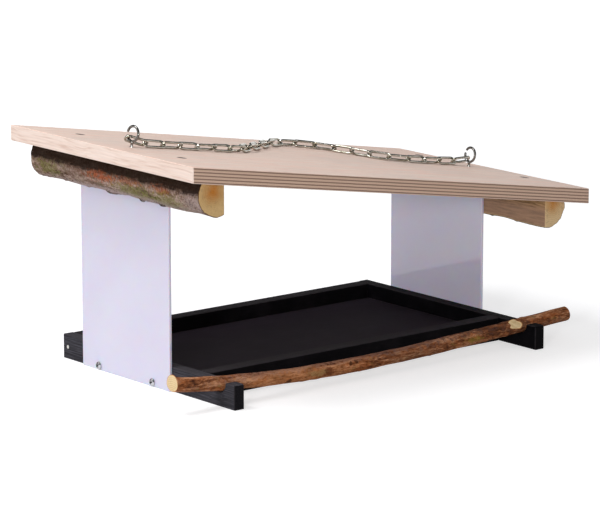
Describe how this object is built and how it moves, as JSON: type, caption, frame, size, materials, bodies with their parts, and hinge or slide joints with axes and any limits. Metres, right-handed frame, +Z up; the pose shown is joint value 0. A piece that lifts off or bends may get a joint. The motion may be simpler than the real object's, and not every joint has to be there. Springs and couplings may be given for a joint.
{
  "type": "hanging bird table",
  "caption": "Hanging bird table: a black tray with a branch perch, two opal side panels, bark logs and a sloping plywood roof with a chain.",
  "frame": {"origin": "middle of the tray floor's underside, which lies in the plane that the table rests on", "axes": "+X from the high end of the roof to its low end, +Y from the perch to the back, +Z up"},
  "size_m": [0.4985, 0.288, 0.253],
  "materials": {
    "plywood": "sanded birch plywood under a satin varnish, with its plies open along the edges",
    "log_bark": "natural bark with lichen, sawn pale on the flats and the ends",
    "opal_acrylic": "opal white sheet with a gloss face",
    "black_timber": "planed softwood under a black satin stain",
    "perch_bark": "thin brown bark, sawn pale at the ends and at the side branch",
    "zinc_plate": "bright zinc plating",
    "black_steel": "dark wire nails"
  },
  "bodies": {
    "table": {"roof_panel": "plywood", "log_left": "log_bark", "log_right": "log_bark", "side_panel_left": "opal_acrylic", "side_panel_right": "opal_acrylic", "tray_rail_left": "black_timber", "tray_rail_right": "black_timber", "tray_batten_front": "black_timber", "tray_batten_back": "black_timber", "tray_floor": "black_timber", "perch_branch": "perch_bark", "perch_screw_left": "zinc_plate", "perch_screw_right": "zinc_plate", "tray_screw_left_front": "zinc_plate", "tray_screw_left_back": "zinc_plate", "tray_screw_right_front": "zinc_plate", "tray_screw_right_back": "zinc_plate", "log_screw_left_front": "zinc_plate", "log_screw_left_back": "zinc_plate", "log_screw_right_front": "zinc_plate", "log_screw_right_back": "zinc_plate", "frame_nail_left_front": "black_steel", "frame_nail_left_back": "black_steel", "frame_nail_right_front": "black_steel", "frame_nail_right_back": "black_steel", "roof_screw_left_front": "zinc_plate", "roof_screw_left_back": "zinc_plate", "roof_screw_right_front": "zinc_plate", "roof_screw_right_back": "zinc_plate", "screw_eye_left": "zinc_plate", "screw_eye_right": "zinc_plate"},
    "chain": {"chain_link_01": "zinc_plate", "chain_link_02": "zinc_plate", "chain_link_03": "zinc_plate", "chain_link_04": "zinc_plate", "chain_link_05": "zinc_plate", "chain_link_06": "zinc_plate", "chain_link_07": "zinc_plate", "chain_link_08": "zinc_plate", "chain_link_09": "zinc_plate", "chain_link_10": "zinc_plate", "chain_link_11": "zinc_plate", "chain_link_12": "zinc_plate", "chain_link_13": "zinc_plate", "chain_link_14": "zinc_plate", "chain_link_15": "zinc_plate", "chain_link_16": "zinc_plate", "chain_link_17": "zinc_plate", "chain_link_18": "zinc_plate", "chain_link_19": "zinc_plate", "chain_link_20": "zinc_plate", "chain_link_21": "zinc_plate", "chain_link_22": "zinc_plate", "chain_link_23": "zinc_plate", "chain_link_24": "zinc_plate", "chain_link_25": "zinc_plate"}
  },
  "joints": [
    {"name": "chain_swing", "type": "hinge", "parent": "table", "child": "chain", "pos_m": [-0.21249, -0.0315, 0.24458], "axis": [0.9869, 0, -0.161], "range_deg": [0, 190]}
  ]
}
